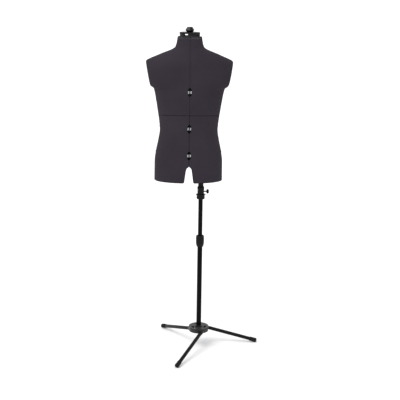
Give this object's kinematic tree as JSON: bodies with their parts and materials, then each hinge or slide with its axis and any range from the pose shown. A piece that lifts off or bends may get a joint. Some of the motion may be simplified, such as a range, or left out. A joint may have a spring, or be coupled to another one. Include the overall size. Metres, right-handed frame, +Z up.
{
  "type": "adjustable dress form",
  "caption": "Male torso dress form in padded quarter panels with thumbwheel size adjusters, socketed through one leg stump onto a telescopic pole with a tripod foot.",
  "frame": {"origin": "on the floor, under the centre of the form's bounding box", "axes": "+Z up, -Y is the side the figure faces, +X is the figure's left"},
  "size_m": [0.5822, 0.5385, 1.6288],
  "materials": {
    "jersey_cover": "knitted aubergine-grey jersey bonded to thin foam, matt",
    "panel_shell": "moulded dark plastic",
    "thumbwheel": "black moulded plastic, knurled rim",
    "yoke_plastic": "light grey moulded plastic",
    "foot_rubber": "black rubber",
    "tube_enamel": "black enamelled steel tube",
    "inner_steel": "zinc-plated steel",
    "neck_plastic": "black moulded plastic",
    "fitting_plastic": "black moulded plastic"
  },
  "bodies": {
    "base": {"hub_casting": "fitting_plastic", "hub_cover": "fitting_plastic", "hub_bolt": "inner_steel", "leg_right": "tube_enamel", "leg_back": "tube_enamel", "leg_front": "tube_enamel", "foot_cap_right": "foot_rubber", "foot_cap_back": "foot_rubber", "foot_cap_front": "foot_rubber", "lower_tube": "tube_enamel", "collar_body": "fitting_plastic"},
    "collar_ring": {"collar_ring": "fitting_plastic"},
    "pole": {"upper_tube": "tube_enamel", "socket_collar": "fitting_plastic"},
    "lower_frame": {"torso_socket": "fitting_plastic", "hip_plate": "inner_steel", "lower_mast": "inner_steel"},
    "thumb_screw": {"thumb_screw": "fitting_plastic"},
    "upper_frame": {"upper_mast": "inner_steel", "chest_plate": "inner_steel", "neck_drum": "neck_plastic"},
    "neck_knob": {"neck_knob": "neck_plastic"},
    "upper_front_left": {"cover_upper_front_left": "jersey_cover", "shell_upper_front_left": "panel_shell"},
    "upper_back_left": {"cover_upper_back_left": "jersey_cover", "shell_upper_back_left": "panel_shell"},
    "upper_back_right": {"cover_upper_back_right": "jersey_cover", "shell_upper_back_right": "panel_shell"},
    "upper_front_right": {"cover_upper_front_right": "jersey_cover", "shell_upper_front_right": "panel_shell"},
    "lower_front_left": {"cover_lower_front_left": "jersey_cover", "shell_lower_front_left": "panel_shell"},
    "lower_back_left": {"cover_lower_back_left": "jersey_cover", "shell_lower_back_left": "panel_shell"},
    "lower_back_right": {"cover_lower_back_right": "jersey_cover", "shell_lower_back_right": "panel_shell"},
    "lower_front_right": {"cover_lower_front_right": "jersey_cover", "shell_lower_front_right": "panel_shell"},
    "yoke_chest_front": {"yoke_chest_front": "yoke_plastic"},
    "wheel_chest_front": {"wheel_chest_front": "thumbwheel"},
    "yoke_chest_back": {"yoke_chest_back": "yoke_plastic"},
    "wheel_chest_back": {"wheel_chest_back": "thumbwheel"},
    "yoke_chest_left": {"yoke_chest_left": "yoke_plastic"},
    "wheel_chest_left": {"wheel_chest_left": "thumbwheel"},
    "yoke_chest_right": {"yoke_chest_right": "yoke_plastic"},
    "wheel_chest_right": {"wheel_chest_right": "thumbwheel"},
    "rail_front": {"rail_front": "yoke_plastic"},
    "wheel_waist_front": {"wheel_waist_front": "thumbwheel"},
    "wheel_hip_front": {"wheel_hip_front": "thumbwheel"},
    "rail_back": {"rail_back": "yoke_plastic"},
    "wheel_waist_back": {"wheel_waist_back": "thumbwheel"},
    "wheel_hip_back": {"wheel_hip_back": "thumbwheel"},
    "rail_left": {"rail_left": "yoke_plastic"},
    "wheel_waist_left": {"wheel_waist_left": "thumbwheel"},
    "wheel_hip_left": {"wheel_hip_left": "thumbwheel"},
    "rail_right": {"rail_right": "yoke_plastic"},
    "wheel_waist_right": {"wheel_waist_right": "thumbwheel"},
    "wheel_hip_right": {"wheel_hip_right": "thumbwheel"}
  },
  "joints": [
    {"name": "collar_twist", "type": "hinge", "parent": "base", "child": "collar_ring", "pos_m": [-0.01741, 0.02013, 0.577], "axis": [0, 0, 1], "range_deg": [0, 90]},
    {"name": "pole_height", "type": "slide", "parent": "base", "child": "pole", "axis": [0, 0, 1], "range_m": [-0.17, 0.15]},
    {"name": "torso_swivel", "type": "hinge", "parent": "pole", "child": "lower_frame", "pos_m": [-0.01741, 0.02013, 0.94], "axis": [0, 0, 1], "continuous": true},
    {"name": "thumb_screw_turn", "type": "hinge", "parent": "lower_frame", "child": "thumb_screw", "pos_m": [-0.01741, 0.02013, 0.8231], "axis": [1, 0, 0], "range_deg": [0, 720]},
    {"name": "waist_length", "type": "slide", "parent": "lower_frame", "child": "upper_frame", "axis": [0, 0, 1], "range_m": [0, 0.06]},
    {"name": "neck_knob_turn", "type": "hinge", "parent": "upper_frame", "child": "neck_knob", "pos_m": [-0.08091, 0.03013, 1.61], "axis": [0, 0, 1], "range_deg": [0, 720]},
    {"name": "chest_size", "type": "slide", "parent": "upper_frame", "child": "upper_front_left", "axis": [0.7071, -0.7071, 0], "range_m": [0, 0.0282]},
    {"name": "chest_size_back_left", "type": "slide", "parent": "upper_frame", "child": "upper_back_left", "axis": [0.7071, 0.7071, 0], "range_m": [0, 0.0282]},
    {"name": "chest_size_back_right", "type": "slide", "parent": "upper_frame", "child": "upper_back_right", "axis": [-0.7071, 0.7071, 0], "range_m": [0, 0.0282]},
    {"name": "chest_size_front_right", "type": "slide", "parent": "upper_frame", "child": "upper_front_right", "axis": [-0.7071, -0.7071, 0], "range_m": [0, 0.0282]},
    {"name": "waist_hip_size", "type": "slide", "parent": "lower_frame", "child": "lower_front_left", "axis": [0.7071, -0.7071, 0], "range_m": [0, 0.0197]},
    {"name": "waist_hip_size_back_left", "type": "slide", "parent": "lower_frame", "child": "lower_back_left", "axis": [0.7071, 0.7071, 0], "range_m": [0, 0.0197]},
    {"name": "waist_hip_size_back_right", "type": "slide", "parent": "lower_frame", "child": "lower_back_right", "axis": [-0.7071, 0.7071, 0], "range_m": [0, 0.0197]},
    {"name": "waist_hip_size_front_right", "type": "slide", "parent": "lower_frame", "child": "lower_front_right", "axis": [-0.7071, -0.7071, 0], "range_m": [0, 0.0197]},
    {"name": "yoke_chest_front_follow", "type": "slide", "parent": "upper_frame", "child": "yoke_chest_front", "axis": [0, -1, 0], "range_m": [0, 0.02]},
    {"name": "wheel_chest_front_turn", "type": "hinge", "parent": "yoke_chest_front", "child": "wheel_chest_front", "pos_m": [-0.08091, -0.08198, 1.331], "axis": [1, 0, 0], "range_deg": [0, 1800]},
    {"name": "yoke_chest_back_follow", "type": "slide", "parent": "upper_frame", "child": "yoke_chest_back", "axis": [0, 1, 0], "range_m": [0, 0.02]},
    {"name": "wheel_chest_back_turn", "type": "hinge", "parent": "yoke_chest_back", "child": "wheel_chest_back", "pos_m": [-0.08091, 0.11715, 1.331], "axis": [1, 0, 0], "range_deg": [0, 1800]},
    {"name": "yoke_chest_left_follow", "type": "slide", "parent": "upper_frame", "child": "yoke_chest_left", "axis": [1, 0, 0], "range_m": [0, 0.02]},
    {"name": "wheel_chest_left_turn", "type": "hinge", "parent": "yoke_chest_left", "child": "wheel_chest_left", "pos_m": [0.06027, 0.02013, 1.285], "axis": [0, 1, 0], "range_deg": [0, 1800]},
    {"name": "yoke_chest_right_follow", "type": "slide", "parent": "upper_frame", "child": "yoke_chest_right", "axis": [-1, 0, 0], "range_m": [0, 0.02]},
    {"name": "wheel_chest_right_turn", "type": "hinge", "parent": "yoke_chest_right", "child": "wheel_chest_right", "pos_m": [-0.22209, 0.02013, 1.285], "axis": [0, 1, 0], "range_deg": [0, 1800]},
    {"name": "rail_front_follow", "type": "slide", "parent": "lower_frame", "child": "rail_front", "axis": [0, -1, 0], "range_m": [0, 0.014]},
    {"name": "wheel_waist_front_turn", "type": "hinge", "parent": "rail_front", "child": "wheel_waist_front", "pos_m": [-0.08091, -0.06216, 1.153], "axis": [1, 0, 0], "range_deg": [0, 1260]},
    {"name": "wheel_hip_front_turn", "type": "hinge", "parent": "rail_front", "child": "wheel_hip_front", "pos_m": [-0.08091, -0.07216, 1.024], "axis": [1, 0, 0], "range_deg": [0, 1260]},
    {"name": "rail_back_follow", "type": "slide", "parent": "lower_frame", "child": "rail_back", "axis": [0, 1, 0], "range_m": [0, 0.014]},
    {"name": "wheel_waist_back_turn", "type": "hinge", "parent": "rail_back", "child": "wheel_waist_back", "pos_m": [-0.08091, 0.09517, 1.153], "axis": [1, 0, 0], "range_deg": [0, 1260]},
    {"name": "wheel_hip_back_turn", "type": "hinge", "parent": "rail_back", "child": "wheel_hip_back", "pos_m": [-0.08091, 0.11819, 1.024], "axis": [1, 0, 0], "range_deg": [0, 1260]},
    {"name": "rail_left_follow", "type": "slide", "parent": "lower_frame", "child": "rail_left", "axis": [1, 0, 0], "range_m": [0, 0.014]},
    {"name": "wheel_waist_left_turn", "type": "hinge", "parent": "rail_left", "child": "wheel_waist_left", "pos_m": [0.04169, 0.02013, 1.153], "axis": [0, 1, 0], "range_deg": [0, 1260]},
    {"name": "wheel_hip_left_turn", "type": "hinge", "parent": "rail_left", "child": "wheel_hip_left", "pos_m": [0.0605, 0.02013, 1.024], "axis": [0, 1, 0], "range_deg": [0, 1260]},
    {"name": "rail_right_follow", "type": "slide", "parent": "lower_frame", "child": "rail_right", "axis": [-1, 0, 0], "range_m": [0, 0.014]},
    {"name": "wheel_waist_right_turn", "type": "hinge", "parent": "rail_right", "child": "wheel_waist_right", "pos_m": [-0.20351, 0.02013, 1.153], "axis": [0, 1, 0], "range_deg": [0, 1260]},
    {"name": "wheel_hip_right_turn", "type": "hinge", "parent": "rail_right", "child": "wheel_hip_right", "pos_m": [-0.22233, 0.02013, 1.024], "axis": [0, 1, 0], "range_deg": [0, 1260]}
  ],
  "couplings": [
    {"joint": "chest_size_back_left", "follows": "chest_size", "ratio": 1},
    {"joint": "chest_size_back_right", "follows": "chest_size", "ratio": 1},
    {"joint": "chest_size_front_right", "follows": "chest_size", "ratio": 1},
    {"joint": "waist_hip_size_back_left", "follows": "waist_hip_size", "ratio": 1},
    {"joint": "waist_hip_size_back_right", "follows": "waist_hip_size", "ratio": 1},
    {"joint": "waist_hip_size_front_right", "follows": "waist_hip_size", "ratio": 1},
    {"joint": "yoke_chest_front_follow", "follows": "chest_size", "ratio": 0.70711},
    {"joint": "wheel_chest_front_turn", "follows": "chest_size", "rad_per_m": 1110.7},
    {"joint": "yoke_chest_back_follow", "follows": "chest_size", "ratio": 0.70711},
    {"joint": "wheel_chest_back_turn", "follows": "chest_size", "rad_per_m": 1110.7},
    {"joint": "yoke_chest_left_follow", "follows": "chest_size", "ratio": 0.70711},
    {"joint": "wheel_chest_left_turn", "follows": "chest_size", "rad_per_m": 1110.7},
    {"joint": "yoke_chest_right_follow", "follows": "chest_size", "ratio": 0.70711},
    {"joint": "wheel_chest_right_turn", "follows": "chest_size", "rad_per_m": 1110.7},
    {"joint": "rail_front_follow", "follows": "waist_hip_size", "ratio": 0.70711},
    {"joint": "wheel_waist_front_turn", "follows": "waist_hip_size", "rad_per_m": 1110.7},
    {"joint": "wheel_hip_front_turn", "follows": "waist_hip_size", "rad_per_m": 1110.7},
    {"joint": "rail_back_follow", "follows": "waist_hip_size", "ratio": 0.70711},
    {"joint": "wheel_waist_back_turn", "follows": "waist_hip_size", "rad_per_m": 1110.7},
    {"joint": "wheel_hip_back_turn", "follows": "waist_hip_size", "rad_per_m": 1110.7},
    {"joint": "rail_left_follow", "follows": "waist_hip_size", "ratio": 0.70711},
    {"joint": "wheel_waist_left_turn", "follows": "waist_hip_size", "rad_per_m": 1110.7},
    {"joint": "wheel_hip_left_turn", "follows": "waist_hip_size", "rad_per_m": 1110.7},
    {"joint": "rail_right_follow", "follows": "waist_hip_size", "ratio": 0.70711},
    {"joint": "wheel_waist_right_turn", "follows": "waist_hip_size", "rad_per_m": 1110.7},
    {"joint": "wheel_hip_right_turn", "follows": "waist_hip_size", "rad_per_m": 1110.7}
  ]
}
